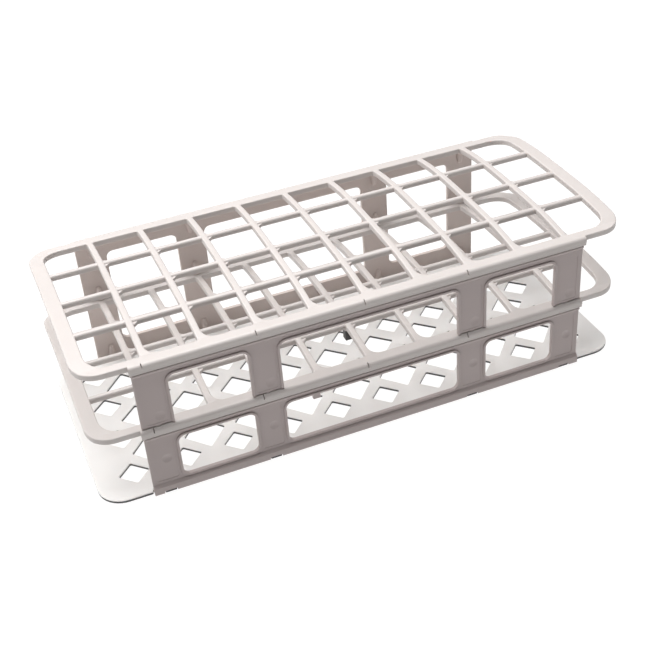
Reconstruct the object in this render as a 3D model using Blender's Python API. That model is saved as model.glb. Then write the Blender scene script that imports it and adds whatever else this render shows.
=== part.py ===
"""Three-tier snap-together rack for 40 test tubes of 20 mm, moulded in white polypropylene.

Seven mouldings: a top and a middle shelf with 10 x 4 openings, a bottom shelf with a lattice
of diamond holes that the tubes stand on, and an upper and a lower wall on each long side.
Pins and tabs on the walls and shelves fit holes and notches in their neighbours.
Origin: centre of the footprint, on the surface that the rack stands on. +X runs along the
length, +Y to the back, +Z up.
"""

import math

import bmesh
import bpy
from mathutils import Matrix

MM = 0.001

# The grid of tube openings.
COLUMNS = 10
ROWS = 4
PITCH = 23.5 * MM
ROW_PITCH = 24.25 * MM
BAR_WIDTH = 2.8 * MM
OPENING = PITCH - BAR_WIDTH
OPENING_DEPTH = ROW_PITCH - BAR_WIDTH

# The whole rack.
LENGTH = 245 * MM
LIP_WIDTH = 106.4 * MM
SHELF_WIDTH = 103 * MM
GAP = 0.3 * MM

# Shelves: thickness, and the height of each top surface where it meets the walls.
SHELF_THICKNESS = 2.8 * MM
BASE_THICKNESS = 1.5 * MM
TOP_LEVEL = 67.1 * MM
MIDDLE_LEVEL = 34.8 * MM
CROWN = 3.1 * MM
SHELF_CORNER = 11 * MM
END_OPENING_CORNER = 8 * MM
FRONT_FILLET = 5 * MM
LONG_BAR_DROP = 0.5 * MM
LONG_BAR_RAMP = 0.5 * MM
CUT_MARGIN = 1 * MM

# The lip that turns down over the top edge of each wall.
LIP_LENGTH = 203.4 * MM
LIP_THICKNESS = 1 * MM
LIP_DEPTH = 4.2 * MM
LIP_ROOT = 3 * MM
LIP_ROUND = 1.6 * MM
LIP_SLIT = 0.5 * MM
LIP_SLIT_OFFSET = 2.4 * MM
LIP_SLIT_BARS = (-4, -2, 0, 2)

# Walls.
WALL_LENGTH = 202 * MM
WALL_THICKNESS = 1.4 * MM
POST_CENTRES = (-4 * PITCH, -2 * PITCH, 2 * PITCH, 4 * PITCH)
POST_WIDTH = 13.6 * MM
WINDOW_TOP_UPPER = 58.3 * MM
WINDOW_TOP_LOWER = 26.7 * MM
WINDOW_SILL = 6 * MM
BACK_SILL = 9.6 * MM
WINDOW_CORNER = 3 * MM
RIB_WIDTH = 1.3 * MM
RIB_HEIGHT = 0.6 * MM
FOOT_DEPTH = 1.3 * MM
FOOT_BAND = 3.6 * MM
FOOT_SLOPE = 0.9 * MM

# Snap features.
BOSS_RADIUS = 1.9 * MM
BOSS_TIP_RADIUS = 1.3 * MM
BOSS_HEIGHT = 6.5 * MM
BOSS_PROUD = 2.2 * MM
PIN_RADIUS = 1 * MM
PIN_HOLE_RADIUS = 1.3 * MM
PIN_LENGTH = 1.7 * MM
HEAD_PIN_RADIUS = 0.6 * MM
HEAD_PIN_HOLE_RADIUS = 0.9 * MM
HEAD_PIN_LENGTH = 1.2 * MM
HEAD_PIN_OFFSET = 4.5 * MM
TAB_WIDTH = 5 * MM
TAB_THICKNESS = 0.9 * MM

# The diamond holes of the bottom shelf, from the centre to a corner along X and along Y:
# small ones under the tubes, and large ones under the crossings of the bars.
TUBE_DIAMOND = (6.7 * MM, 6.7 * MM)
CROSSING_DIAMOND = (9.4 * MM, 10.6 * MM)

# The stub that hangs under the middle shelf, where the middle cross bar meets the front lengthwise bar.
STUB_SIDE = 3.4 * MM
STUB_DROP = 5.6 * MM

# A catch that hangs behind the head of the front lower wall.
CATCH_CENTRE = -25.7 * MM
CATCH_WIDTH = 3.2 * MM
CATCH_REACH = 1.6 * MM
CATCH_FOOT = 23 * MM
CATCH_HEAD = 30.5 * MM

WHITE = (0.86, 0.85, 0.83, 1)
ARC_STEPS = 5
ROUND_SIDES = 12

LIP_FACE = LIP_WIDTH / 2
LIP_INNER = LIP_FACE - LIP_THICKNESS
WALL_OUTER = LIP_INNER - GAP
WALL_INNER = WALL_OUTER - WALL_THICKNESS
BOSS_CENTRE = WALL_INNER - BOSS_PROUD + BOSS_RADIUS
HEAD_PIN_PLACES = [x + HEAD_PIN_OFFSET for x in POST_CENTRES]
HEAD_PIN_CENTRE = (WALL_OUTER + WALL_INNER) / 2
COLUMN_CENTRES = [(column - (COLUMNS - 1) / 2) * PITCH for column in range(COLUMNS)]
ROW_CENTRES = [(row - (ROWS - 1) / 2) * ROW_PITCH for row in range(ROWS)]
COLUMN_BARS = [(bar - COLUMNS / 2) * PITCH for bar in range(1, COLUMNS)]
ROW_BARS = [(bar - ROWS / 2) * ROW_PITCH for bar in range(1, ROWS)]
GRID_EDGE = ROW_CENTRES[-1] + OPENING_DEPTH / 2


def clear_scene():
    for item in list(bpy.data.objects):
        bpy.data.objects.remove(item, do_unlink=True)


def new_collection(name):
    collection = bpy.data.collections.new(name)
    bpy.context.scene.collection.children.link(collection)
    return collection


def plastic():
    material = bpy.data.materials.new("white_polypropylene")
    material.use_nodes = True
    shader = material.node_tree.nodes["Principled BSDF"]
    shader.inputs["Base Color"].default_value = WHITE
    shader.inputs["Roughness"].default_value = 0.42
    shader.inputs["Metallic"].default_value = 0
    return material


def rounded(corners, radii, steps=ARC_STEPS):
    """The outline through these corners, in anticlockwise order, each rounded by its radius."""
    points = []
    count = len(corners)
    for index, (x, y) in enumerate(corners):
        radius = radii[index]
        if not radius:
            points.append((x, y))
            continue
        before = corners[index - 1]
        after = corners[(index + 1) % count]
        into = math.atan2(y - before[1], x - before[0])
        out_of = math.atan2(after[1] - y, after[0] - x)
        turn = (out_of - into + math.pi) % (2 * math.pi) - math.pi
        reach = radius * math.tan(abs(turn) / 2)
        side = math.copysign(1, turn)
        centre_x = x - reach * math.cos(into) - side * radius * math.sin(into)
        centre_y = y - reach * math.sin(into) + side * radius * math.cos(into)
        for step in range(steps + 1):
            angle = into - side * math.pi / 2 + turn * step / steps
            points.append((centre_x + radius * math.cos(angle), centre_y + radius * math.sin(angle)))
    return points


def box_corners(x_low, y_low, x_high, y_high):
    return [(x_low, y_low), (x_high, y_low), (x_high, y_high), (x_low, y_high)]


def solid_from_outlines(name, outlines, low, high):
    """One closed mesh object between two heights: the first outline, less the others."""
    curve = bpy.data.curves.new(name, "CURVE")
    curve.dimensions = "2D"
    curve.fill_mode = "BOTH"
    curve.extrude = (high - low) / 2
    for outline in outlines:
        spline = curve.splines.new("POLY")
        spline.points.add(len(outline) - 1)
        for point, (x, y) in zip(spline.points, outline):
            point.co = (x, y, 0, 1)
        spline.use_cyclic_u = True
    flat = bpy.data.objects.new(name + "_outline", curve)
    bpy.context.scene.collection.objects.link(flat)
    bpy.context.view_layer.update()
    mesh = bpy.data.meshes.new_from_object(flat.evaluated_get(bpy.context.evaluated_depsgraph_get()))
    bpy.data.objects.remove(flat, do_unlink=True)
    bpy.data.curves.remove(curve)
    solid = bmesh.new()
    solid.from_mesh(mesh)
    bmesh.ops.remove_doubles(solid, verts=solid.verts, dist=1e-6)
    bmesh.ops.recalc_face_normals(solid, faces=solid.faces)
    bmesh.ops.translate(solid, verts=solid.verts, vec=(0, 0, (low + high) / 2))
    solid.to_mesh(mesh)
    solid.free()
    return bpy.data.objects.new(name, mesh)


def stand_up(item, y_low, y_high):
    """Turns a solid drawn in X and Y so that it stands in X and Z between two depths."""
    item.data.transform(Matrix.Rotation(math.pi / 2, 4, "X"))
    item.data.transform(Matrix.Translation((0, (y_low + y_high) / 2, 0)))
    return item


def wall_solid(name, outlines, y_low, y_high):
    depth = y_high - y_low
    return stand_up(solid_from_outlines(name, outlines, -depth / 2, depth / 2), y_low, y_high)


def along_length(name, profile, length, side):
    """A profile in depth and height, run along X on the back (side 1) or the front (side -1)."""
    item = solid_from_outlines(name, [profile], -length / 2, length / 2)
    item.data.transform(Matrix.Rotation(math.pi / 2, 4, "X"))
    item.data.transform(Matrix.Rotation(math.pi / 2, 4, "Z"))
    if side < 0:
        item.data.transform(Matrix.Rotation(math.pi, 4, "Z"))
    return item


def outward(side, near, far):
    """A pair of depths on one side of the rack, lowest first."""
    return sorted((side * near, side * far))


def box(name, low, high):
    mesh = bpy.data.meshes.new(name)
    solid = bmesh.new()
    bmesh.ops.create_cube(solid, size=1)
    for vertex in solid.verts:
        for axis in range(3):
            vertex.co[axis] = low[axis] if vertex.co[axis] < 0 else high[axis]
    solid.to_mesh(mesh)
    solid.free()
    return bpy.data.objects.new(name, mesh)


def cone(name, x, y, low, high, low_radius, high_radius):
    mesh = bpy.data.meshes.new(name)
    solid = bmesh.new()
    bmesh.ops.create_cone(
        solid,
        cap_ends=True,
        segments=ROUND_SIDES,
        radius1=low_radius,
        radius2=high_radius,
        depth=high - low,
        matrix=Matrix.Translation((x, y, (low + high) / 2)),
    )
    solid.to_mesh(mesh)
    solid.free()
    return bpy.data.objects.new(name, mesh)


def cylinder(name, x, y, low, high, radius):
    return cone(name, x, y, low, high, radius, radius)


class Workshop:
    """Keeps the finished pieces and the helper solids that shape them apart."""

    def __init__(self):
        self.pieces = new_collection("test_tube_rack")
        self.helpers = new_collection("helpers")
        self.material = plastic()

    def add_piece(self, item):
        self.pieces.objects.link(item)
        item.data.materials.clear()
        item.data.materials.append(self.material)
        return item

    def combine(self, item, helper, operation):
        """A Boolean on a piece. Ribs, tabs and lips lie flush with it, and EXACT leaves such joins open."""
        self.helpers.objects.link(helper)
        helper.hide_render = True
        helper.display_type = "WIRE"
        modifier = item.modifiers.new(f"{operation}_{helper.name}", "BOOLEAN")
        modifier.operation = operation
        modifier.solver = "MANIFOLD"
        modifier.object = helper

    def join(self, item, helper):
        self.combine(item, helper, "UNION")

    def cut(self, item, helper):
        self.combine(item, helper, "DIFFERENCE")

    def bake(self, item):
        """Turns a piece and its Booleans into one mesh, and clears their helpers away."""
        bpy.context.view_layer.update()
        graph = bpy.context.evaluated_depsgraph_get()
        helpers = [modifier.object for modifier in item.modifiers]
        mesh = bpy.data.meshes.new_from_object(item.evaluated_get(graph))
        item.modifiers.clear()
        item.data = mesh
        for helper in helpers:
            bpy.data.objects.remove(helper, do_unlink=True)


def opening_outline(column, row):
    """A tube opening, with a gusset on the front left and wide corners at the rack's ends."""
    x = COLUMN_CENTRES[column]
    y = ROW_CENTRES[row]
    half_x = OPENING / 2
    half_y = OPENING_DEPTH / 2
    radii = [0] * 4
    if row == 0 and 0 < column < COLUMNS - 1:
        radii[0] = FRONT_FILLET
    if row in (0, ROWS - 1) and column in (0, COLUMNS - 1):
        right = column > 0
        back = row > 0
        radii[(2 if right else 3) if back else (1 if right else 0)] = END_OPENING_CORNER
    return rounded(box_corners(x - half_x, y - half_y, x + half_x, y + half_y), radii)


def shelf_outline():
    half_length = LENGTH / 2
    half_width = SHELF_WIDTH / 2
    corners = box_corners(-half_length, -half_width, half_length, half_width)
    return rounded(corners, [SHELF_CORNER] * 4, steps=8)


def lip(name, side, level):
    """The rounded edge and the downturned lip along one long side of a shelf."""
    inner = SHELF_WIDTH / 2 - LIP_ROOT
    under = level - SHELF_THICKNESS
    profile = rounded(
        [
            (inner, under),
            (LIP_INNER, under),
            (LIP_INNER, level - LIP_DEPTH),
            (LIP_FACE, level - LIP_DEPTH),
            (LIP_FACE, level),
            (inner, level),
        ],
        [0, 0, 0, 0, LIP_ROUND, 0],
    )
    return along_length(name, profile, LIP_LENGTH, side)


def long_bar_cutters(shop, item, level):
    """Lowers the lengthwise bars a little between the cross bars."""
    half_x = OPENING / 2 - LONG_BAR_RAMP
    half_y = BAR_WIDTH / 2 + LONG_BAR_RAMP
    for bar, y in enumerate(ROW_BARS):
        for column, x in enumerate(COLUMN_CENTRES):
            low = (x - half_x, y - half_y, level - LONG_BAR_DROP)
            high = (x + half_x, y + half_y, level + CUT_MARGIN)
            shop.cut(item, box(f"{item.name}_drop_{bar}_{column}", low, high))


def slit_cutters(shop, item, level, side):
    """Relief slits through the lip, beside the cross bars that carry the snaps."""
    for bar in LIP_SLIT_BARS:
        x = -side * (bar * PITCH - LIP_SLIT_OFFSET)
        depths = outward(side, LIP_INNER - LIP_SLIT, LIP_FACE + CUT_MARGIN)
        low = (x - LIP_SLIT / 2, depths[0], level - LIP_DEPTH - CUT_MARGIN)
        high = (x + LIP_SLIT / 2, depths[1], level + CUT_MARGIN)
        shop.cut(item, box(f"{item.name}_slit_{bar}_{side}", low, high))


def open_shelf(shop, name, level):
    """The top or the middle shelf: the grid of openings, with a lip along both long sides."""
    openings = [opening_outline(column, row) for column in range(COLUMNS) for row in range(ROWS)]
    item = solid_from_outlines(name, [shelf_outline()] + openings, level - SHELF_THICKNESS, level)
    shop.add_piece(item)
    long_bar_cutters(shop, item, level)
    for side in (-1, 1):
        shop.join(item, lip(f"{name}_lip_{side}", side, level))
        slit_cutters(shop, item, level, side)
    return item


def pin_holes(shop, item, places, y, low, high, radius):
    for index, x in enumerate(places):
        for side in (-1, 1):
            hole = cylinder(f"{item.name}_hole_{index}_{side}_{radius}", x, side * y, low, high, radius)
            shop.cut(item, hole)


def crown_rise(y):
    """How far the middle of a shelf stands above its long edges at this depth."""
    return CROWN * (1 - min(abs(y) / GRID_EDGE, 1) ** 3)


def crown(shop, item):
    """Bows a finished shelf upwards between the walls, with a bend at each lengthwise bar."""
    shop.bake(item)
    bends = [y + side * BAR_WIDTH / 2 for y in ROW_BARS for side in (-1, 1)]
    solid = bmesh.new()
    solid.from_mesh(item.data)
    for y in [-GRID_EDGE, *bends, GRID_EDGE]:
        everything = solid.verts[:] + solid.edges[:] + solid.faces[:]
        bmesh.ops.bisect_plane(solid, geom=everything, dist=1e-7, plane_co=(0, y, 0), plane_no=(0, 1, 0))
    for vertex in solid.verts:
        vertex.co.z += crown_rise(vertex.co.y)
    bmesh.ops.triangulate(solid, faces=solid.faces)
    solid.to_mesh(item.data)
    solid.free()


def make_top_shelf(shop):
    item = open_shelf(shop, "top_shelf", TOP_LEVEL)
    under = TOP_LEVEL - SHELF_THICKNESS
    roof = under + PIN_LENGTH
    pin_holes(shop, item, POST_CENTRES, BOSS_CENTRE, under - CUT_MARGIN, roof, PIN_HOLE_RADIUS)
    crown(shop, item)


def make_middle_shelf(shop):
    item = open_shelf(shop, "middle_shelf", MIDDLE_LEVEL)
    under = MIDDLE_LEVEL - SHELF_THICKNESS
    floor = MIDDLE_LEVEL - PIN_LENGTH
    above = MIDDLE_LEVEL + CUT_MARGIN
    pin_holes(shop, item, POST_CENTRES, BOSS_CENTRE, floor, above, PIN_HOLE_RADIUS)
    below = under - CUT_MARGIN
    roof = under + HEAD_PIN_LENGTH
    pin_holes(shop, item, HEAD_PIN_PLACES, HEAD_PIN_CENTRE, below, roof, HEAD_PIN_HOLE_RADIUS)
    half = STUB_SIDE / 2
    low = (-half, ROW_BARS[0] - half, under - STUB_DROP)
    high = (half, ROW_BARS[0] + half, MIDDLE_LEVEL - LONG_BAR_DROP)
    shop.join(item, box("middle_shelf_stub", low, high))
    crown(shop, item)


def diamond(x, y, reach):
    reach_x, reach_y = reach
    return [(x, y - reach_y), (x + reach_x, y), (x, y + reach_y), (x - reach_x, y)]


def base_outline():
    """The bottom shelf without its tabs: full width at the ends, and set back between the walls."""
    half_length = LENGTH / 2
    half_width = SHELF_WIDTH / 2
    set_back = WALL_INNER - GAP
    wall_end = WALL_LENGTH / 2 + GAP
    front = [(-half_length, -half_width), (-wall_end, -half_width), (-wall_end, -set_back)]
    front += [(wall_end, -set_back), (wall_end, -half_width), (half_length, -half_width)]
    corners = front + [(-x, -y) for x, y in front]
    radii = [SHELF_CORNER if abs(x) == half_length else 0 for x, y in corners]
    return rounded(corners, radii, steps=8)


def make_bottom_shelf(shop):
    holes = [diamond(x, y, TUBE_DIAMOND) for x in COLUMN_CENTRES for y in ROW_CENTRES]
    holes += [diamond(x, y, CROSSING_DIAMOND) for x in COLUMN_BARS for y in ROW_BARS]
    outlines = [base_outline()] + holes
    item = shop.add_piece(solid_from_outlines("bottom_shelf", outlines, 0, BASE_THICKNESS))
    for x in POST_CENTRES:
        for side in (-1, 1):
            depths = outward(side, WALL_INNER - TAB_WIDTH / 2, WALL_OUTER + FOOT_DEPTH - GAP)
            low = (x - TAB_WIDTH / 2, depths[0], 0)
            high = (x + TAB_WIDTH / 2, depths[1], TAB_THICKNESS)
            shop.join(item, box(f"bottom_shelf_tab_{x:.3f}_{side}", low, high))
    above = BASE_THICKNESS + CUT_MARGIN
    pin_holes(shop, item, POST_CENTRES, BOSS_CENTRE, -CUT_MARGIN, above, PIN_HOLE_RADIUS)


def window_spans():
    """The three windows between the four posts, as (left, right)."""
    half_post = POST_WIDTH / 2
    return [
        (left + half_post, right - half_post)
        for left, right in zip(POST_CENTRES, POST_CENTRES[1:])
    ]


def window_outline(left, right, low, high, grow=0.0):
    corners = box_corners(left - grow, low - grow, right + grow, high + grow)
    return rounded(corners, [WINDOW_CORNER + grow] * 4)


def bosses(shop, item, side, root, direction):
    """Tapered bosses on the inner face behind each post, each with the pin that a shelf takes.

    root is the wall's edge at the shelf, and direction is 1 where the shelf is above it.
    """
    tip = root - direction * BOSS_HEIGHT
    pin_end = root + direction * (PIN_LENGTH - GAP)
    pin_start = root - direction * PIN_LENGTH
    low_radius, high_radius = BOSS_RADIUS, BOSS_TIP_RADIUS
    if direction > 0:
        low_radius, high_radius = high_radius, low_radius
    for x in POST_CENTRES:
        tag = f"{item.name}_{x:.3f}_{root:.4f}"
        y = side * BOSS_CENTRE
        boss = cone(f"{tag}_boss", x, y, min(root, tip), max(root, tip), low_radius, high_radius)
        shop.join(item, boss)
        pin_low, pin_high = sorted((pin_start, pin_end))
        shop.join(item, cylinder(f"{tag}_pin", x, y, pin_low, pin_high, PIN_RADIUS))


def open_wall(shop, name, side, levels, rib_root):
    """A rail with four posts, whose windows are open where the posts end, and a rib round each.

    levels holds the height of the posts' free ends, of the windows' closed edge and of the
    rail's edge. rib_root is where the ribs start.
    """
    root, lintel, far = levels
    half = WALL_LENGTH / 2
    edge = [(-half, root)]
    radii = [0]
    for left, right in window_spans():
        edge += [(left, root), (left, lintel), (right, lintel), (right, root)]
        radii += [0, WINDOW_CORNER, WINDOW_CORNER, 0]
    edge += [(half, root), (half, far), (-half, far)]
    radii += [0, 0, 0]
    depths = outward(side, WALL_INNER, WALL_OUTER)
    item = shop.add_piece(wall_solid(name, [rounded(edge, radii)], *depths))
    depths = outward(side, WALL_OUTER - RIB_HEIGHT, WALL_OUTER + RIB_HEIGHT)
    rib_top = lintel + math.copysign(RIB_WIDTH, far - root)
    wide = WINDOW_CORNER + RIB_WIDTH
    for index, (left, right) in enumerate(window_spans()):
        border = [(left - RIB_WIDTH, rib_root), (left, rib_root), (left, lintel), (right, lintel)]
        border += [(right, rib_root), (right + RIB_WIDTH, rib_root)]
        border += [(right + RIB_WIDTH, rib_top), (left - RIB_WIDTH, rib_top)]
        radii = [0, 0, WINDOW_CORNER, WINDOW_CORNER, 0, 0, wide, wide]
        shop.join(item, wall_solid(f"{name}_rib_{index}", [rounded(border, radii)], *depths))
    return item


def upper_wall(shop, name, side):
    low = MIDDLE_LEVEL + GAP
    high = TOP_LEVEL - SHELF_THICKNESS - GAP
    item = open_wall(shop, name, side, (low, WINDOW_TOP_UPPER, high), low)
    bosses(shop, item, side, high, 1)
    bosses(shop, item, side, low, -1)


def closed_wall(shop, name, side, high):
    """A panel from the floor up, with three closed windows and a rib round each."""
    half = WALL_LENGTH / 2
    spans = window_spans()
    windows = [window_outline(*span, WINDOW_SILL, WINDOW_TOP_LOWER) for span in spans]
    outlines = [box_corners(-half, 0, half, high)] + windows
    item = shop.add_piece(wall_solid(name, outlines, *outward(side, WALL_INNER, WALL_OUTER)))
    depths = outward(side, WALL_OUTER - RIB_HEIGHT, WALL_OUTER + RIB_HEIGHT)
    for index, (span, inner) in enumerate(zip(spans, windows)):
        outer = window_outline(*span, WINDOW_SILL, WINDOW_TOP_LOWER, grow=RIB_WIDTH)
        shop.join(item, wall_solid(f"{name}_rib_{index}", [outer, inner], *depths))
    return item


def add_foot(shop, item, side):
    """The thickened foot of a lower wall, with its sloping shoulder."""
    inner = WALL_OUTER - RIB_HEIGHT
    outer = WALL_OUTER + FOOT_DEPTH
    profile = [(inner, 0), (outer, 0), (outer, FOOT_BAND), (inner, FOOT_BAND + FOOT_SLOPE)]
    shop.join(item, along_length(f"{item.name}_foot", profile, WALL_LENGTH, side))


def finish_lower_wall(shop, item, side, high):
    """Adds the foot, the bosses, the head pins and the notches for the bottom shelf's tabs."""
    add_foot(shop, item, side)
    bosses(shop, item, side, BASE_THICKNESS + GAP, -1)
    y = side * HEAD_PIN_CENTRE
    for x in HEAD_PIN_PLACES:
        low = high - HEAD_PIN_LENGTH
        top = high + HEAD_PIN_LENGTH
        shop.join(item, cylinder(f"{item.name}_head_pin_{x:.3f}", x, y, low, top, HEAD_PIN_RADIUS))
    notch_half = TAB_WIDTH / 2 + GAP
    for x in POST_CENTRES:
        depths = outward(side, WALL_INNER - CUT_MARGIN, WALL_OUTER + FOOT_DEPTH + CUT_MARGIN)
        low = (x - notch_half, depths[0], -CUT_MARGIN)
        top = (x + notch_half, depths[1], TAB_THICKNESS + GAP)
        shop.cut(item, box(f"{item.name}_notch_{x:.3f}", low, top))


def lower_walls(shop):
    """The front one has closed windows. The back one is a tall sill with posts, open at the head."""
    high = MIDDLE_LEVEL - SHELF_THICKNESS - GAP
    front = closed_wall(shop, "front_lower_wall", -1, high)
    finish_lower_wall(shop, front, -1, high)
    root = -WALL_INNER - CUT_MARGIN / 2
    low = (CATCH_CENTRE - CATCH_WIDTH / 2, root, WINDOW_TOP_LOWER + RIB_WIDTH)
    top = (CATCH_CENTRE + CATCH_WIDTH / 2, CATCH_REACH - WALL_INNER, CATCH_HEAD)
    shop.join(front, box("front_lower_wall_catch_head", low, top))
    low = (low[0], -WALL_INNER, CATCH_FOOT)
    top = (top[0], top[1], WINDOW_TOP_LOWER + 2 * RIB_WIDTH)
    shop.join(front, box("front_lower_wall_catch_foot", low, top))
    under_lip = MIDDLE_LEVEL - LIP_DEPTH - GAP
    back = open_wall(shop, "back_lower_wall", 1, (high, BACK_SILL, 0), under_lip)
    finish_lower_wall(shop, back, 1, high)


def main():
    clear_scene()
    shop = Workshop()
    make_top_shelf(shop)
    make_middle_shelf(shop)
    make_bottom_shelf(shop)
    upper_wall(shop, "front_upper_wall", -1)
    upper_wall(shop, "back_upper_wall", 1)
    lower_walls(shop)


main()
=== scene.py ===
"""Looks of the three-tier test tube rack: moulded shelves and walls in satin white polypropylene."""

import math

import bmesh
import bpy
from mathutils import Matrix, Vector


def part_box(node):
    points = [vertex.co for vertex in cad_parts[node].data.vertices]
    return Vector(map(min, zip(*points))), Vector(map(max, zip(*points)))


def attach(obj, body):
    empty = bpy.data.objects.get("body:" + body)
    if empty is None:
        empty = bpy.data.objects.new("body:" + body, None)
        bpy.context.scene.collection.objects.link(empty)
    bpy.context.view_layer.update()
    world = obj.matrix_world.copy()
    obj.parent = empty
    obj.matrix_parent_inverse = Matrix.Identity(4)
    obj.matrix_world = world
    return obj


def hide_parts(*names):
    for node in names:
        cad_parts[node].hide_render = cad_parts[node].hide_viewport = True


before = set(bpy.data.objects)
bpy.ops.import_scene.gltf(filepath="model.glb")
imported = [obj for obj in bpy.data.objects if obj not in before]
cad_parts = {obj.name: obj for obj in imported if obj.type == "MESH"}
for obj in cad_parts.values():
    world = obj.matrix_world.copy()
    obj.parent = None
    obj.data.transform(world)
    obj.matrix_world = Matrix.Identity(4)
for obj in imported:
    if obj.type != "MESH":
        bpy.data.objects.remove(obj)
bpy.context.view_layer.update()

MM = 0.001

# How far a cutter reaches past the face that it cuts, and how deep a feature is rooted in its piece.
CUTTER_OVERRUN = 1 * MM
JOIN_DEPTH = 0.5 * MM

# The rounding of small features: their corners seen from above, and their edges.
SMALL_CORNER = 0.4 * MM
FINE_EDGE = 0.2 * MM

# The grid of tube openings.
COLUMNS = 10
ROWS = 4
PITCH = 23.5 * MM
ROW_PITCH = 24.25 * MM
BAR_WIDTH = 2.8 * MM
OPENING = PITCH - BAR_WIDTH
COLUMN_CENTRES = [(column - (COLUMNS - 1) / 2) * PITCH for column in range(COLUMNS)]
ROW_CENTRES = [(row - (ROWS - 1) / 2) * ROW_PITCH for row in range(ROWS)]
COLUMN_BARS = [(bar - COLUMNS / 2) * PITCH for bar in range(1, COLUMNS)]
ROW_BARS = [(bar - ROWS / 2) * ROW_PITCH for bar in range(1, ROWS)]
GRID_EDGE = ROW_CENTRES[-1] + (ROW_PITCH - BAR_WIDTH) / 2

# Places read from the frame. Everything stays a hair inside them.
SKIN = 0.01 * MM
TOP_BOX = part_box("top_shelf")
BASE_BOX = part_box("bottom_shelf")
WALL_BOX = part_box("front_upper_wall")
HALF_LENGTH = TOP_BOX[1][0] - SKIN
LIP_FACE = TOP_BOX[1][1] - SKIN
BASE_THICKNESS = BASE_BOX[1][2]
TAB_REACH = BASE_BOX[1][1]
HALF_WALL = WALL_BOX[1][0]

# Shelves. The levels are those of the top surfaces at the walls; between the walls they bow up.
TOP_LEVEL = 67.1 * MM
MIDDLE_LEVEL = 34.8 * MM
CROWN = TOP_BOX[1][2] - TOP_LEVEL - SKIN
CROWN_STEPS = 26
SHELF_THICKNESS = 2.8 * MM
SHELF_HALF_WIDTH = 51.5 * MM
SHELF_CORNER = 11 * MM
END_OPENING_CORNER = 8 * MM
FRONT_FILLET = 5 * MM
OPENING_CORNER = 0.7 * MM
EDGE = 0.55 * MM
LONG_BAR_DROP = 0.1 * MM
LONG_BAR_ROUND = 1.25 * MM
LONG_BAR_UNDER_ROUND = 0.6 * MM
LONG_BAR_SHORT = 3 * MM
GUSSET = 2.6 * MM
GUSSET_ROUND = 2 * MM
GUSSET_DROP = 0.9 * MM
GUSSET_RISE = 0.3 * MM
GUSSET_INSET = 0.3 * MM

# The lip that turns down over the top edge of each wall.
LIP_THICKNESS = 1 * MM
LIP_DEPTH = 4.2 * MM
LIP_ROUND = 1.7 * MM
LIP_HEEL_ROUND = 0.3 * MM
LIP_TOE_ROUND = 0.4 * MM
LIP_CREASE = 2.7 * MM
LIP_STEP = 0.22 * MM
LIP_ROOT = 3 * MM
HALF_LIP = 101.7 * MM
SLIT_WIDTH = 0.45 * MM
SLIT_DEPTH = 2 * MM
SLIT_INWARD = 1.6 * MM
SLIT_OFFSET = 2.4 * MM
SLIT_BARS = (-4, -2, 0, 2)

# Walls.
GAP = 0.3 * MM
WALL_THICKNESS = 1.4 * MM
WALL_OUTER = LIP_FACE - LIP_THICKNESS - GAP
WALL_INNER = WALL_OUTER - WALL_THICKNESS
WALL_EDGE = 0.4 * MM
WALL_CORNER = 0.3 * MM
RAIL_CORNER = 0.4 * MM
POST_CENTRES = (-4 * PITCH, -2 * PITCH, 2 * PITCH, 4 * PITCH)
POST_WIDTH = 13.6 * MM
WINDOW_TOP_UPPER = 58.3 * MM
WINDOW_TOP_LOWER = 26.7 * MM
WINDOW_SILL = 6 * MM
BACK_SILL = 9.6 * MM
WINDOW_CORNER = 3 * MM
RIB_WIDTH = 1.2 * MM
RIB_HEIGHT = 0.55 * MM
RIB_ROOT_DEPTH = 0.6 * MM
RIB_EDGE = 0.3 * MM
RIB_START = 0.1 * MM
RIDGE_PROUD = 0.95 * MM
RIDGE_BELOW_LIP = 0.15 * MM
RIDGE_HEIGHT = 2.2 * MM
RIDGE_FLAT = 0.8 * MM
RIDGE_ROOT_DEPTH = 0.4 * MM
RIDGE_ROUND = 0.25 * MM
RIDGE_END = 0.3 * MM
FOOT_DEPTH = 1.3 * MM
FOOT_BAND = 3.6 * MM
FOOT_SHOULDER = 1.5 * MM
FOOT_TOE_ROUND = 0.3 * MM
FOOT_BAND_ROUND = 0.8 * MM

# Marks in the outer faces of the posts: a shallow panel, and the dimple over a boss.
PANEL_DEPTH = 0.14 * MM
PANEL_MARGIN = 1 * MM
PANEL_CORNER = 0.8 * MM
PANEL_FOOT_UPPER = 1.2 * MM
PANEL_FOOT_LOWER = 2.4 * MM
PANEL_HEAD_LOWER = 0.8 * MM
DIMPLE_BALL = 7 * MM
DIMPLE_DEPTH = 0.58 * MM

# Where the dimples are: from the middle of the post, and up from the wall's foot.
DIMPLE_UPPER = (1.5 * MM, 4.5 * MM)
DIMPLE_LOWER = (1 * MM, 17 * MM)

# Snap features.
BOSS_RADIUS = 1.9 * MM
BOSS_TIP_RADIUS = 1.2 * MM
BOSS_HEIGHT = 6.5 * MM
BOSS_CENTRE = WALL_INNER - 0.3 * MM
HOLE_RADIUS = 1.3 * MM
PIN_RADIUS = 1 * MM
PIN_LENGTH = 1.7 * MM
PIN_ROOT = 1 * MM
TAB_WIDTH = 5 * MM
TAB_THICKNESS = 0.9 * MM
TAB_ROOT = 2 * MM

# Bottom shelf: the diamonds' reach from the centre to a corner along X and along Y.
TUBE_DIAMOND = (6.7 * MM, 6.7 * MM)
CROSSING_DIAMOND = (9.4 * MM, 10.6 * MM)
MIDDLE_DIAMOND = (8.4 * MM, 8.4 * MM)
DIAMOND_CORNER = 0.7 * MM
BASE_CORNER = 0.5 * MM
BASE_EDGE = 0.3 * MM

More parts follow.
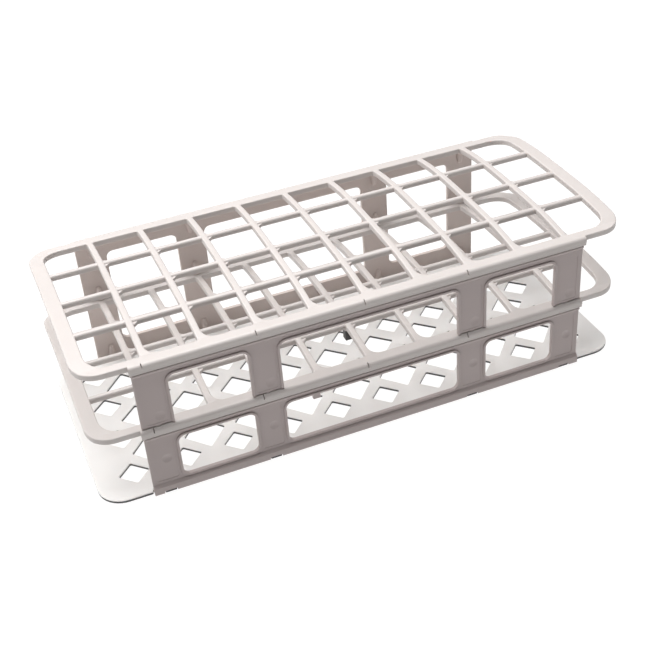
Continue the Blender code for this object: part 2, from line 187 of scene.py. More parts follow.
# The stub under the middle shelf, where the middle cross bar meets the front lengthwise bar.
STUB_SIDE = 3.4 * MM
STUB_DROP = 5.6 * MM
STUB_ROOT = 1.5 * MM
STUB_EDGE = 0.25 * MM

# A catch that hangs behind the head of the front lower wall.
CATCH_CENTRE = -25.7 * MM
CATCH_WIDTH = 3.2 * MM
CATCH_REACH = 1.6 * MM
CATCH_FOOT = 23 * MM
CATCH_HEAD = 30.5 * MM

# Colours of the plastic, with some painted shade in them, so that each piece gets its own lit or shaded
# copy; and the colour of the painted shade in the dark lines low down.
SHELF_SHADED_TINT = (0.585, 0.542, 0.522)
BASE_SHADED_TINT = (0.76, 0.745, 0.73)
FRONT_SHADED_TINT = (0.45, 0.385, 0.375)
BACK_SHADED_TINT = (0.64, 0.555, 0.52)
PAINTED_SHADE_TINT = (0.045, 0.042, 0.042, 1)
SHELF_ROUGHNESS = 0.42
WALL_ROUGHNESS = 0.4

# The camera, fitted to the photo. Its angles are in degrees, and its lens is in millimetres.
CAMERA_PLACE = (-0.1491, -0.4192, 0.3363)
CAMERA_AZIMUTH = -19.36
CAMERA_ELEVATION = 35.34
CAMERA_ROLL = -4.71
CAMERA_SENSOR = 36
CAMERA_LENS = 65.15


# ---------------------------------------------------------------- outlines

def rounded(corners, radii, steps=6):
    """The outline through anticlockwise corners, each rounded by its own radius."""
    points = []
    count = len(corners)
    for index, (x, y) in enumerate(corners):
        radius = radii[index]
        if not radius:
            points.append((x, y))
            continue
        before = corners[index - 1]
        after = corners[(index + 1) % count]
        into = math.atan2(y - before[1], x - before[0])
        out_of = math.atan2(after[1] - y, after[0] - x)
        turn = (out_of - into + math.pi) % (2 * math.pi) - math.pi
        reach = radius * math.tan(abs(turn) / 2)
        side = math.copysign(1, turn)
        centre_x = x - reach * math.cos(into) - side * radius * math.sin(into)
        centre_y = y - reach * math.sin(into) + side * radius * math.cos(into)
        for step in range(steps + 1):
            angle = into - side * math.pi / 2 + turn * step / steps
            points.append((centre_x + radius * math.cos(angle), centre_y + radius * math.sin(angle)))
    return points


def rectangle(x_low, y_low, x_high, y_high):
    return [(x_low, y_low), (x_high, y_low), (x_high, y_high), (x_low, y_high)]


def outward(side, near, far):
    """Two depths on one side of the rack, given by their distance from the middle, in rising order."""
    return sorted((side * near, side * far))


def window_spans():
    """The left and right edges of the three windows between the posts."""
    half_post = POST_WIDTH / 2
    return [(a + half_post, b - half_post) for a, b in zip(POST_CENTRES, POST_CENTRES[1:])]


# ---------------------------------------------------------------- solids

def finish_mesh(name, solid):
    """Puts a bmesh into the scene as an object and frees it."""
    bmesh.ops.remove_doubles(solid, verts=solid.verts, dist=1e-6)
    bmesh.ops.recalc_face_normals(solid, faces=solid.faces)
    mesh = bpy.data.meshes.new(name)
    solid.to_mesh(mesh)
    solid.free()
    item = bpy.data.objects.new(name, mesh)
    bpy.context.scene.collection.objects.link(item)
    return item


def slab(name, outlines, low, high, edge=0.0, steps=3):
    """A plate between two heights with rounded edges: the first outline, less the others."""
    curve = bpy.data.curves.new(name, "CURVE")
    curve.dimensions = "2D"
    curve.fill_mode = "BOTH"
    curve.extrude = (high - low) / 2 - edge
    curve.bevel_depth = edge
    curve.bevel_resolution = steps - 1
    curve.offset = -edge
    for index, outline in enumerate(outlines):
        path = outline if index == 0 else outline[::-1]
        spline = curve.splines.new("POLY")
        spline.points.add(len(path) - 1)
        for point, (x, y) in zip(spline.points, path):
            point.co = (x, y, 0, 1)
        spline.use_cyclic_u = True
    flat = bpy.data.objects.new(name + "_outline", curve)
    bpy.context.scene.collection.objects.link(flat)
    bpy.context.view_layer.update()
    graph = bpy.context.evaluated_depsgraph_get()
    mesh = bpy.data.meshes.new_from_object(flat.evaluated_get(graph))
    bpy.data.objects.remove(flat, do_unlink=True)
    bpy.data.curves.remove(curve)
    solid = bmesh.new()
    solid.from_mesh(mesh)
    bpy.data.meshes.remove(mesh)
    bmesh.ops.translate(solid, verts=solid.verts, vec=(0, 0, (low + high) / 2))
    return finish_mesh(name, solid)


def upright(item, depth_low, depth_high):
    """Turns a slab drawn in X and Y so that it stands in X and Z, centred between two depths."""
    item.data.transform(Matrix.Rotation(math.pi / 2, 4, "X"))
    item.data.transform(Matrix.Translation((0, (depth_low + depth_high) / 2, 0)))
    return item


def wall_slab(name, outlines, depths, edge=0.0, steps=3):
    thickness = depths[1] - depths[0]
    return upright(slab(name, outlines, -thickness / 2, thickness / 2, edge, steps), *depths)


def extrusion(name, profile, length, side, edge=0.0):
    """A profile in depth and height, run along X, on the back (side 1) or the front (side -1)."""
    item = slab(name, [profile], -length / 2, length / 2, edge)
    item.data.transform(Matrix.Rotation(math.pi / 2, 4, "X"))
    item.data.transform(Matrix.Rotation(math.pi / 2, 4, "Z"))
    if side < 0:
        item.data.transform(Matrix.Rotation(math.pi, 4, "Z"))
    return item


def block(name, low, high):
    solid = bmesh.new()
    bmesh.ops.create_cube(solid, size=1)
    for vertex in solid.verts:
        for axis in range(3):
            vertex.co[axis] = low[axis] if vertex.co[axis] < 0 else high[axis]
    return finish_mesh(name, solid)


def turned(name, profile, centre, segments=28):
    """A solid of revolution about a vertical axis, from (radius, height) pairs with ends on the axis."""
    solid = bmesh.new()
    vertices = [solid.verts.new((radius, 0, height)) for radius, height in profile]
    edges = [solid.edges.new(pair) for pair in zip(vertices, vertices[1:])]
    bmesh.ops.spin(
        solid,
        geom=vertices + edges,
        cent=(0, 0, 0),
        axis=(0, 0, 1),
        angle=2 * math.pi,
        steps=segments,
        use_merge=True,
    )
    bmesh.ops.translate(solid, verts=solid.verts, vec=(centre[0], centre[1], 0))
    return finish_mesh(name, solid)


def rod(name, centre, low, high, radius):
    return turned(name, [(0, low), (radius, low), (radius, high), (0, high)], centre)


def fuse(item, additions=(), cuts=()):
    """Unites and cuts a piece, and leaves one closed mesh."""
    steps = [("UNION", helper) for helper in additions] + [("DIFFERENCE", helper) for helper in cuts]
    for operation, helper in steps:
        modifier = item.modifiers.new(helper.name, "BOOLEAN")
        modifier.operation = operation
        modifier.solver = "MANIFOLD"
        modifier.object = helper
    bpy.context.view_layer.update()
    graph = bpy.context.evaluated_depsgraph_get()
    mesh = bpy.data.meshes.new_from_object(item.evaluated_get(graph))
    item.modifiers.clear()
    item.data = mesh
    for _, helper in steps:
        bpy.data.objects.remove(helper, do_unlink=True)
    return item


def shade(item, angle=38):
    """Smooth shading with crisp corners, and flat faces kept flat beside the rounded edges."""
    item.data.shade_smooth()
    item.data.set_sharp_from_angle(angle=math.radians(angle))
    modifier = item.modifiers.new("flat_faces", "WEIGHTED_NORMAL")
    modifier.keep_sharp = True
    modifier.weight = 60
    return item


# ---------------------------------------------------------------- shelves

def column_slot(column):
    """The gap between two cross bars, from the front rim to the back rim."""
    x = COLUMN_CENTRES[column]
    half = OPENING / 2
    radii = [OPENING_CORNER] * 4
    if column == 0:
        radii[0] = radii[3] = END_OPENING_CORNER
    elif column == COLUMNS - 1:
        radii[1] = radii[2] = END_OPENING_CORNER
    else:
        radii[0] = FRONT_FILLET
    return rounded(rectangle(x - half, -GRID_EDGE, x + half, GRID_EDGE), radii)


def long_bar(name, y, level):
    """One lengthwise bar: nearly a round rod, set a little below the cross bars."""
    half = BAR_WIDTH / 2
    low = level - SHELF_THICKNESS
    high = level - LONG_BAR_DROP
    corners = [(y - half, low), (y + half, low), (y + half, high), (y - half, high)]
    radii = [LONG_BAR_UNDER_ROUND, LONG_BAR_UNDER_ROUND, LONG_BAR_ROUND, LONG_BAR_ROUND]
    return extrusion(name, rounded(corners, radii), 2 * (HALF_LENGTH - LONG_BAR_SHORT), 1)


def gussets(name, level):
    """Small webs in the corners between a cross bar and the lengthwise bar to its right."""
    made = []
    low = level - SHELF_THICKNESS + GUSSET_RISE
    high = level - GUSSET_DROP
    half = BAR_WIDTH / 2 - GUSSET_INSET
    for bar, x in enumerate(COLUMN_BARS):
        root = x + BAR_WIDTH / 2 - JOIN_DEPTH
        tip = root + GUSSET + JOIN_DEPTH
        for row, y in enumerate(ROW_BARS):
            near = y - half
            far = y + half
            corners = [(root, near - GUSSET), (tip, near), (tip, far), (root, far + GUSSET)]
            outline = rounded(corners, [0, GUSSET_ROUND, GUSSET_ROUND, 0], steps=3)
            made.append(slab(f"{name}_gusset_{bar}_{row}", [outline], low, high, FINE_EDGE, 2))
    return made


def crown(item):
    """Bows a shelf upwards between the walls."""
    solid = bmesh.new()
    solid.from_mesh(item.data)
    for step in range(CROWN_STEPS + 1):
        y = (2 * step / CROWN_STEPS - 1) * GRID_EDGE
        everything = solid.verts[:] + solid.edges[:] + solid.faces[:]
        bmesh.ops.bisect_plane(solid, geom=everything, dist=1e-7, plane_co=(0, y, 0), plane_no=(0, 1, 0))
    for vertex in solid.verts:
        vertex.co.z += CROWN * (1 - min(abs(vertex.co.y) / GRID_EDGE, 1) ** 3)
    bmesh.ops.triangulate(solid, faces=[face for face in solid.faces if len(face.verts) > 4])
    solid.to_mesh(item.data)
    solid.free()
    return item


def lip(name, side, level):
    """The rounded long edge of a shelf, with a crease halfway down its outer face."""
    inner = SHELF_HALF_WIDTH - LIP_ROOT
    under = level - SHELF_THICKNESS
    foot = level - LIP_DEPTH
    crease = level - LIP_CREASE
    back = LIP_FACE - LIP_THICKNESS
    corners = [
        (inner, under),
        (back, under),
        (back, foot),
        (LIP_FACE - LIP_STEP, foot),
        (LIP_FACE - LIP_STEP, crease),
        (LIP_FACE, crease + LIP_STEP),
        (LIP_FACE, level),
        (inner, level),
    ]
    profile = rounded(corners, [0, 0, LIP_HEEL_ROUND, LIP_TOE_ROUND, 0, 0, LIP_ROUND, 0])
    return extrusion(name, profile, 2 * HALF_LIP, side)


def lip_slits(name, side, level):
    """Narrow relief slits down from the top of the rim, beside every second cross bar."""
    slits = []
    near, far = outward(side, LIP_FACE - SLIT_INWARD, LIP_FACE + CUTTER_OVERRUN)
    for bar in SLIT_BARS:
        x = -side * (bar * PITCH - SLIT_OFFSET)
        low = (x - SLIT_WIDTH / 2, near, level - SLIT_DEPTH)
        high = (x + SLIT_WIDTH / 2, far, level + CUTTER_OVERRUN)
        slits.append(block(f"{name}_slit_{bar}_{side}", low, high))
    return slits


def open_shelf(name, level):
    """A flat shelf with open columns, crossed by lengthwise bars, and a lip on each long side."""
    corners = rectangle(-HALF_LENGTH, -SHELF_HALF_WIDTH, HALF_LENGTH, SHELF_HALF_WIDTH)
    outline = rounded(corners, [SHELF_CORNER] * 4, steps=14)
    slots = [column_slot(column) for column in range(COLUMNS)]
    item = slab(name + "_fine", [outline] + slots, level - SHELF_THICKNESS, level, EDGE)
    bars = [long_bar(f"{name}_bar_{row}", y, level) for row, y in enumerate(ROW_BARS)]
    lips = [lip(f"{name}_lip_{side}", side, level) for side in (-1, 1)]
    slits = lip_slits(name, -1, level) + lip_slits(name, 1, level)
    return fuse(item, bars + gussets(name, level) + lips, slits)


def socket_cuts(name, low, high):
    """Round sockets for the wall pins, behind each post on both sides."""
    cuts = []
    for x in POST_CENTRES:
        for side in (-1, 1):
            centre = (x, side * BOSS_CENTRE)
            cuts.append(rod(f"{name}_socket_{x:.3f}_{side}", centre, low, high, HOLE_RADIUS))
    return cuts


def make_top_shelf():
    under = TOP_LEVEL - SHELF_THICKNESS
    item = open_shelf("top_shelf", TOP_LEVEL)
    sockets = socket_cuts("top", under - CUTTER_OVERRUN, under + PIN_LENGTH)
    return crown(fuse(item, cuts=sockets))


def make_middle_shelf():
    item = open_shelf("middle_shelf", MIDDLE_LEVEL)
    stub_low = MIDDLE_LEVEL - SHELF_THICKNESS - STUB_DROP
    half = STUB_SIDE / 2
    corners = rectangle(-half, ROW_BARS[0] - half, half, ROW_BARS[0] + half)
    outline = rounded(corners, [SMALL_CORNER] * 4, steps=3)
    stub = slab("stub", [outline], stub_low, MIDDLE_LEVEL - STUB_ROOT, STUB_EDGE)
    sockets = socket_cuts("middle", MIDDLE_LEVEL - PIN_LENGTH, MIDDLE_LEVEL + CUTTER_OVERRUN)
    return crown(fuse(item, [stub], sockets))


def diamond(x, y, reach):
    """A hole with its four corners on the axes through its centre."""
    reach_x, reach_y = reach
    corners = [(x, y - reach_y), (x + reach_x, y), (x, y + reach_y), (x - reach_x, y)]
    return rounded(corners, [DIAMOND_CORNER] * 4, steps=4)


def base_outline():
    """Full width at the two ends, and set back between the walls."""
    wall_end = HALF_WALL + GAP
    set_back = WALL_INNER - GAP
    front = [
        (-HALF_LENGTH, -SHELF_HALF_WIDTH),
        (-wall_end, -SHELF_HALF_WIDTH),
        (-wall_end, -set_back),
        (wall_end, -set_back),
        (wall_end, -SHELF_HALF_WIDTH),
        (HALF_LENGTH, -SHELF_HALF_WIDTH),
    ]
    corners = front + [(-x, -y) for x, y in front]
    radii = [SHELF_CORNER if abs(x) == HALF_LENGTH else BASE_CORNER for x, y in corners]
    return rounded(corners, radii, steps=10)


def make_bottom_shelf():
    """A thin plate with diamond holes, and a tab out through the foot of each post."""
    holes = [diamond(x, y, TUBE_DIAMOND) for x in COLUMN_CENTRES for y in ROW_CENTRES]
    for x in COLUMN_BARS:
        holes.append(diamond(x, 0, MIDDLE_DIAMOND))
        holes += [diamond(x, y, CROSSING_DIAMOND) for y in (ROW_BARS[0], ROW_BARS[-1])]
    item = slab("bottom_shelf_fine", [base_outline()] + holes, SKIN, BASE_THICKNESS, BASE_EDGE)
    tabs = []
    for x in POST_CENTRES:
        for side in (-1, 1):
            near, far = outward(side, WALL_INNER - TAB_ROOT, TAB_REACH)
            corners = rectangle(x - TAB_WIDTH / 2, near, x + TAB_WIDTH / 2, far)
            outline = rounded(corners, [SMALL_CORNER] * 4, steps=3)
            tabs.append(slab(f"tab_{x:.3f}_{side}", [outline], SKIN, TAB_THICKNESS, FINE_EDGE))
    sockets = socket_cuts("base", -CUTTER_OVERRUN, BASE_THICKNESS + CUTTER_OVERRUN)
    return fuse(item, tabs, sockets)


# ---------------------------------------------------------------- walls

def bosses(name, side, root, direction):
    """Tapered bosses with round tips behind the posts, each with its pin."""
    made = []
    steps = 5
    tip = BOSS_HEIGHT - BOSS_TIP_RADIUS
    profile = [(0, 0), (BOSS_RADIUS, 0)]
    for step in range(steps + 1):
        angle = step / steps * math.pi / 2
        profile.append((BOSS_TIP_RADIUS * math.cos(angle), tip + BOSS_TIP_RADIUS * math.sin(angle)))
    profile[-1] = (0, BOSS_HEIGHT)
    pin_tip = -PIN_LENGTH + GAP
    pin = [(0, pin_tip), (PIN_RADIUS, pin_tip), (PIN_RADIUS, PIN_ROOT), (0, PIN_ROOT)]
    for x in POST_CENTRES:
        centre = (x, side * BOSS_CENTRE)
        for label, shape in (("boss", profile), ("pin", pin)):
            placed = [(radius, root - direction * height) for radius, height in shape]
            made.append(turned(f"{name}_{label}_{x:.3f}_{root:.4f}", placed, centre))
    return made


def window_outline(span, low, high, grow=0.0):
    """A window with round corners, or the outer edge of the rib round it."""
    corners = rectangle(span[0] - grow, low - grow, span[1] + grow, high + grow)
    return rounded(corners, [WINDOW_CORNER + grow] * 4, steps=8)


def post_panels(name, side, low, high):
    """Shallow recesses in the outer faces of the posts."""
    cuts = []
    depths = outward(side, WALL_OUTER - PANEL_DEPTH, WALL_OUTER + 2 * CUTTER_OVERRUN)
    for x in POST_CENTRES:
        left = x - POST_WIDTH / 2 + RIB_WIDTH + PANEL_MARGIN
        right = x + POST_WIDTH / 2 - RIB_WIDTH - PANEL_MARGIN
        outline = rounded(rectangle(left, low, right, high), [PANEL_CORNER] * 4, steps=4)
        cuts.append(wall_slab(f"{name}_panel_{x:.3f}", [outline], depths))
    return cuts


def sink_marks(name, side, foot, offset):
    """Shallow round dimples where the plastic shrank over the bosses."""
    cuts = []
    depth = side * (WALL_OUTER - DIMPLE_DEPTH + DIMPLE_BALL)
    for index, x in enumerate(POST_CENTRES):
        centre = (x + offset[0], depth, foot + offset[1])
        solid = bmesh.new()
        bmesh.ops.create_uvsphere(solid, u_segments=48, v_segments=32, radius=DIMPLE_BALL)
        bmesh.ops.translate(solid, verts=solid.verts, vec=centre)
        cuts.append(finish_mesh(f"{name}_sink_{index}", solid))
    return cuts


def ridge(name, side, level):
    """A thin level ridge along a wall's outer face, just under a shelf's lip."""
    inner = WALL_OUTER - RIDGE_ROOT_DEPTH
    outer = WALL_OUTER + RIDGE_PROUD
    top = level - LIP_DEPTH - RIDGE_BELOW_LIP
    corners = [(inner, top - RIDGE_HEIGHT), (outer, top - RIDGE_FLAT), (outer, top), (inner, top)]
    profile = rounded(corners, [0, RIDGE_ROUND, RIDGE_ROUND, 0], steps=3)
    return extrusion(name, profile, 2 * HALF_WALL - 2 * RIDGE_END, side)


def window_rib(name, side, outlines):
    """The narrow raised rib round a window, on the outer face of a wall."""
    depths = outward(side, WALL_OUTER - RIB_ROOT_DEPTH, WALL_OUTER + RIB_HEIGHT)
    return wall_slab(name, outlines, depths, RIB_EDGE)


def open_rail(name, side, root, lintel, far, rib_root):
    """A rail with four posts, open between them at the posts' ends, and the ribs round its windows."""
    spans = window_spans()
    edge = [(-HALF_WALL, root)]
    radii = [WALL_CORNER]
    for left, right in spans:
        edge += [(left, root), (left, lintel), (right, lintel), (right, root)]
        radii += [WALL_CORNER, WINDOW_CORNER, WINDOW_CORNER, WALL_CORNER]
    edge += [(HALF_WALL, root), (HALF_WALL, far), (-HALF_WALL, far)]
    radii += [WALL_CORNER, RAIL_CORNER, RAIL_CORNER]
    turn = 1 if far > root else -1
    outline = rounded(edge, radii)[::turn]
    item = wall_slab(name + "_fine", [outline], outward(side, WALL_INNER, WALL_OUTER), WALL_EDGE)
    top = lintel + turn * RIB_WIDTH
    wide = WINDOW_CORNER + RIB_WIDTH
    bends = [0, 0, WINDOW_CORNER, WINDOW_CORNER, 0, 0, wide, wide]
    ribs = []
    for index, (left, right) in enumerate(spans):
        border = [(left - RIB_WIDTH, rib_root), (left, rib_root), (left, lintel), (right, lintel)]
        border += [(right, rib_root), (right + RIB_WIDTH, rib_root)]
        border += [(right + RIB_WIDTH, top), (left - RIB_WIDTH, top)]
        outline = rounded(border, bends, steps=8)[::turn]
        ribs.append(window_rib(f"{name}_rib_{index}", side, [outline]))
    return item, ribs


def make_upper_wall(name, side):
    """Four posts under a rail, between the middle shelf and the top shelf."""
    low = MIDDLE_LEVEL + GAP
    high = TOP_LEVEL - SHELF_THICKNESS - GAP
    rib_root = low + RIB_START
    item, additions = open_rail(name, side, low, WINDOW_TOP_UPPER, high, rib_root)
    additions.append(ridge(f"{name}_ridge", side, TOP_LEVEL))
    additions += bosses(name, side, high, 1) + bosses(name, side, low, -1)
    cuts = post_panels(name, side, low + PANEL_FOOT_UPPER, WINDOW_TOP_UPPER)
    cuts += sink_marks(name, side, low, DIMPLE_UPPER)
    return fuse(item, additions, cuts)


def foot_moulding(name, side):
    """The thick foot: a flat band with a sloping shoulder."""
    inner = WALL_OUTER - JOIN_DEPTH
    outer = WALL_OUTER + FOOT_DEPTH
    shoulder = FOOT_BAND + FOOT_SHOULDER
    corners = [(inner, SKIN), (outer, SKIN), (outer, FOOT_BAND), (inner, shoulder)]
    profile = rounded(corners, [0, FOOT_TOE_ROUND, FOOT_BAND_ROUND, 0], steps=4)
    return extrusion(name, profile, 2 * HALF_WALL, side)


def closed_panel(name, side, high):
    """A panel from the floor up with three windows, and the ribs round them."""
    windows = [window_outline(span, WINDOW_SILL, WINDOW_TOP_LOWER) for span in window_spans()]
    outline = rounded(rectangle(-HALF_WALL, SKIN, HALF_WALL, high), [WALL_CORNER] * 4)
    depths = outward(side, WALL_INNER, WALL_OUTER)
    item = wall_slab(name + "_fine", [outline] + windows, depths, WALL_EDGE)
    ribs = []
    for index, (span, inner) in enumerate(zip(window_spans(), windows)):
        outer = window_outline(span, WINDOW_SILL, WINDOW_TOP_LOWER, RIB_WIDTH)
        ribs.append(window_rib(f"{name}_rib_{index}", side, [outer, inner]))
    return item, ribs


def catch():
    """The hanging catch, rooted above the middle window and free below its head."""
    left = CATCH_CENTRE - CATCH_WIDTH / 2
    right = CATCH_CENTRE + CATCH_WIDTH / 2
    far = CATCH_REACH - WALL_INNER
    sill = WINDOW_TOP_LOWER + RIB_WIDTH
    head = block("catch_head", (left, -WALL_INNER - JOIN_DEPTH, sill), (right, far, CATCH_HEAD))
    foot = block("catch_foot", (left, -WALL_INNER, CATCH_FOOT), (right, far, sill + RIB_WIDTH))
    return [head, foot]


def tab_notches(name, side):
    """The notches under the posts that the bottom shelf's tabs pass through."""
    half = TAB_WIDTH / 2 + GAP
    near, far = outward(side, WALL_INNER - CUTTER_OVERRUN, WALL_OUTER + FOOT_DEPTH + CUTTER_OVERRUN)
    cuts = []
    for x in POST_CENTRES:
        low = (x - half, near, -CUTTER_OVERRUN)
        high = (x + half, far, TAB_THICKNESS + GAP)
        cuts.append(block(f"{name}_notch_{x:.3f}", low, high))
    return cuts


def make_lower_wall(name, side):
    """The front one has closed windows. The back one is a tall sill with posts, open at the head."""
    high = MIDDLE_LEVEL - SHELF_THICKNESS - GAP
    if side < 0:
        item, additions = closed_panel(name, side, high)
        additions += catch() + [ridge(f"{name}_ridge", side, MIDDLE_LEVEL)]
    else:
        rib_root = MIDDLE_LEVEL - LIP_DEPTH - GAP
        item, additions = open_rail(name, side, high, BACK_SILL, SKIN, rib_root)
    additions.append(foot_moulding(f"{name}_foot", side))
    additions += bosses(name, side, BASE_THICKNESS + GAP, -1)
    panel_head = WINDOW_TOP_LOWER + PANEL_HEAD_LOWER
    cuts = post_panels(name, side, FOOT_BAND + PANEL_FOOT_LOWER, panel_head)
    cuts += sink_marks(name, side, 0, DIMPLE_LOWER)
    return fuse(item, additions, cuts + tab_notches(name, side))


# ---------------------------------------------------------------- materials

def painted_shade_below(material, colour, place, height, reach):
    """The colour with painted shade: it turns dark below a height, as far as a depth on both sides of
    the middle.
    """
    nodes = material.node_tree.nodes
    links = material.node_tree.links
    axes = nodes.new("ShaderNodeSeparateXYZ")
    links.new(place.outputs["Object"], axes.inputs["Vector"])
    depth = nodes.new("ShaderNodeMath")
    depth.operation = "ABSOLUTE"
    links.new(axes.outputs["Y"], depth.inputs[0])
    limits = []
    borders = (
        (axes.outputs["Z"], height - 0.2 * MM, height),
        (depth.outputs[0], reach, reach + MM),
    )
    for source, start, end in borders:
        limit = nodes.new("ShaderNodeMapRange")
        limit.inputs["From Min"].default_value = start
        limit.inputs["From Max"].default_value = end
        limit.inputs["To Min"].default_value = 1
        limit.inputs["To Max"].default_value = 0
        links.new(source, limit.inputs["Value"])
        limits.append(limit)
    both = nodes.new("ShaderNodeMath")
    both.operation = "MULTIPLY"
    for index, limit in enumerate(limits):
        links.new(limit.outputs["Result"], both.inputs[index])
    mix = nodes.new("ShaderNodeMix")
    mix.data_type = "RGBA"
    links.new(both.outputs[0], mix.inputs["Factor"])
    # A colour mix takes its two colours at inputs 6 and 7, and gives the result at output 2.
    links.new(colour, mix.inputs[6])
    mix.inputs[7].default_value = PAINTED_SHADE_TINT
    return mix.outputs[2]


def polypropylene(name, colour, roughness, painted_shade_zone=None):
    """Satin off-white plastic in a colour that holds painted shade: faint flow streaks, fine grain and a
    soft glow from within.
    """
    material = bpy.data.materials.new(name)
    material.use_nodes = True
    nodes = material.node_tree.nodes
    links = material.node_tree.links
    shader = nodes["Principled BSDF"]
    place = nodes.new("ShaderNodeTexCoord")

    cloud = nodes.new("ShaderNodeTexNoise")
    cloud.inputs["Scale"].default_value = 28
    cloud.inputs["Detail"].default_value = 4
    links.new(place.outputs["Object"], cloud.inputs["Vector"])
    tone = nodes.new("ShaderNodeValToRGB")
    tone.color_ramp.elements[0].position = 0.3
    tone.color_ramp.elements[0].color = [0.955 * channel for channel in colour] + [1]
    tone.color_ramp.elements[1].position = 0.7
    tone.color_ramp.elements[1].color = list(colour) + [1]
    links.new(cloud.outputs["Fac"], tone.inputs["Fac"])
    final = tone.outputs["Color"]
    # Painted shade: the colour turns dark low down.
    if painted_shade_zone:
        final = painted_shade_below(material, final, place, *painted_shade_zone)
    links.new(final, shader.inputs["Base Color"])

    stretch = nodes.new("ShaderNodeMapping")
    stretch.inputs["Scale"].default_value = (40, 260, 260)
    links.new(place.outputs["Object"], stretch.inputs["Vector"])
    flow = nodes.new("ShaderNodeTexNoise")
    flow.inputs["Scale"].default_value = 1
    flow.inputs["Detail"].default_value = 3
    links.new(stretch.outputs["Vector"], flow.inputs["Vector"])
    gloss = nodes.new("ShaderNodeMapRange")
    gloss.inputs["To Min"].default_value = roughness - 0.07
    gloss.inputs["To Max"].default_value = roughness + 0.09
    links.new(flow.outputs["Fac"], gloss.inputs["Value"])
    links.new(gloss.outputs["Result"], shader.inputs["Roughness"])

    grain = nodes.new("ShaderNodeTexNoise")
    grain.inputs["Scale"].default_value = 2200
    grain.inputs["Detail"].default_value = 2
    links.new(place.outputs["Object"], grain.inputs["Vector"])
    mix = nodes.new("ShaderNodeMix")
    mix.inputs["Factor"].default_value = 0.35
    links.new(flow.outputs["Fac"], mix.inputs["A"])
    links.new(grain.outputs["Fac"], mix.inputs["B"])
    bump = nodes.new("ShaderNodeBump")
    bump.inputs["Strength"].default_value = 0.12
    bump.inputs["Distance"].default_value = 0.00012
    links.new(mix.outputs["Result"], bump.inputs["Height"])
    links.new(bump.outputs["Normal"], shader.inputs["Normal"])

    shader.inputs["Subsurface Weight"].default_value = 0.12
    shader.inputs["Subsurface Radius"].default_value = (1, 0.85, 0.75)
    shader.inputs["Subsurface Scale"].default_value = 0.0015
    shader.inputs["IOR"].default_value = 1.49
    return material


def plain_floor():
    """A pale floor that gives light of its own, so that hardly any shadow shows on it."""
    material = bpy.data.materials.new("floor")
    material.use_nodes = True
    shader = material.node_tree.nodes["Principled BSDF"]
    shader.inputs["Base Color"].default_value = (0.1, 0.1, 0.1, 1)
    shader.inputs["Roughness"].default_value = 0.9
    shader.inputs["Specular IOR Level"].default_value = 0.1
    shader.inputs["Emission Color"].default_value = (1, 0.995, 0.99, 1)
    shader.inputs["Emission Strength"].default_value = 0.95
    return material


# ---------------------------------------------------------------- stage

def make_floor():
    solid = bmesh.new()
    bmesh.ops.create_circle(solid, cap_ends=True, segments=96, radius=6)
    floor = finish_mesh("floor", solid)
    if floor.data.polygons[0].normal.z < 0:
        floor.data.flip_normals()
    floor.location.z = -0.0002
    floor.data.materials.append(plain_floor())


def area_light(name, place, target, size, watts, colour=(1, 1, 1)):
    data = bpy.data.lights.new(name, "AREA")
    data.shape = "DISK"
    data.size = size
    data.energy = watts
    data.color = colour
    light = bpy.data.objects.new(name, data)
    light.location = place
    direction = Vector(target) - Vector(place)
    light.rotation_euler = direction.to_track_quat("-Z", "Y").to_euler()
    bpy.context.scene.collection.objects.link(light)


def make_lights():
    centre = (0, 0, 0.03)
    area_light("overhead", (-0.1, 0.2, 1.5), centre, 1.3, 33)
    area_light("left", (-0.6, 0.3, 0.6), (-0.1, 0, 0.05), 0.5, 4)
    world = bpy.data.worlds.new("studio")
    world.use_nodes = True
    background = world.node_tree.nodes["Background"]
    background.inputs["Color"].default_value = (1, 0.98, 0.965, 1)
    background.inputs["Strength"].default_value = 0.06
    bpy.context.scene.world = world


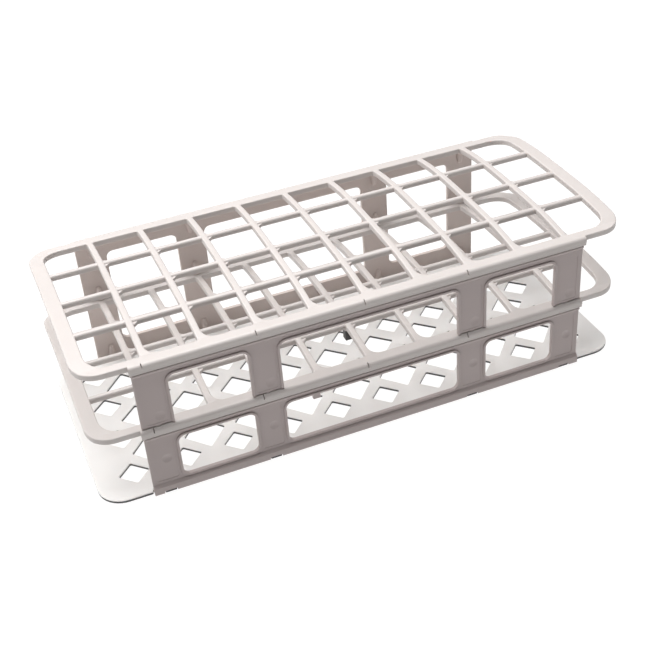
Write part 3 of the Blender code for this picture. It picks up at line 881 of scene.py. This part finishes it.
def make_camera():
    """The photograph's view: from above the front left, with the camera rolled a little."""
    azimuth = math.radians(CAMERA_AZIMUTH)
    elevation = math.radians(CAMERA_ELEVATION)
    roll = math.radians(CAMERA_ROLL)
    data = bpy.data.cameras.new("camera")
    data.sensor_width = CAMERA_SENSOR
    data.lens = CAMERA_LENS
    camera = bpy.data.objects.new("camera", data)
    camera.location = CAMERA_PLACE
    away = Vector(
        (
            math.sin(azimuth) * math.cos(elevation),
            -math.cos(azimuth) * math.cos(elevation),
            math.sin(elevation),
        )
    )
    turn = (-away).to_track_quat("-Z", "Y").to_matrix()
    camera.rotation_euler = (turn @ Matrix.Rotation(roll, 3, "Z")).to_euler()
    data.clip_start = 0.01
    bpy.context.scene.collection.objects.link(camera)
    bpy.context.scene.camera = camera


# ---------------------------------------------------------------- assembly

def place_piece(piece, node, material):
    """Gives a finished piece its looks, hangs it on the root body, and hides the frame's node that it
    stands for.
    """
    piece.data.materials.clear()
    piece.data.materials.append(material)
    shade(piece)
    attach(piece, "root")
    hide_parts(node)


def main():
    # Painted shade, low on the stub under the middle shelf and at the foot of the bottom shelf's edges
    # and hole walls, where they meet the floor.
    stub_shade_zone = (MIDDLE_LEVEL - SHELF_THICKNESS + CROWN * 0.75, ROW_PITCH + STUB_SIDE / 2)
    base_shade_zone = (BASE_THICKNESS - 0.3 * MM, 1)
    # Each shelf's copy of the plastic carries its own painted shade.
    middle_shaded_plastic = polypropylene("middle_shelf_shaded_plastic", SHELF_SHADED_TINT, SHELF_ROUGHNESS, stub_shade_zone)
    base_shaded_plastic = polypropylene("bottom_shelf_shaded_plastic", BASE_SHADED_TINT, SHELF_ROUGHNESS, base_shade_zone)
    top_shaded_plastic = polypropylene("top_shelf_shaded_plastic", SHELF_SHADED_TINT, SHELF_ROUGHNESS)
    place_piece(make_top_shelf(), "top_shelf", top_shaded_plastic)
    place_piece(make_middle_shelf(), "middle_shelf", middle_shaded_plastic)
    place_piece(make_bottom_shelf(), "bottom_shelf", base_shaded_plastic)
    # Each wall gets its own copy of the plastic, with its own painted shade, the front one darkest.
    for label, side, tint in (("front", -1, FRONT_SHADED_TINT), ("back", 1, BACK_SHADED_TINT)):
        wall_shaded_plastic = polypropylene(f"{label}_wall_shaded_plastic", tint, WALL_ROUGHNESS)
        upper = f"{label}_upper_wall"
        lower = f"{label}_lower_wall"
        place_piece(make_upper_wall(upper, side), upper, wall_shaded_plastic)
        place_piece(make_lower_wall(lower, side), lower, wall_shaded_plastic)
    make_floor()
    make_lights()
    make_camera()
    bpy.context.scene.view_settings.view_transform = "Standard"


main()
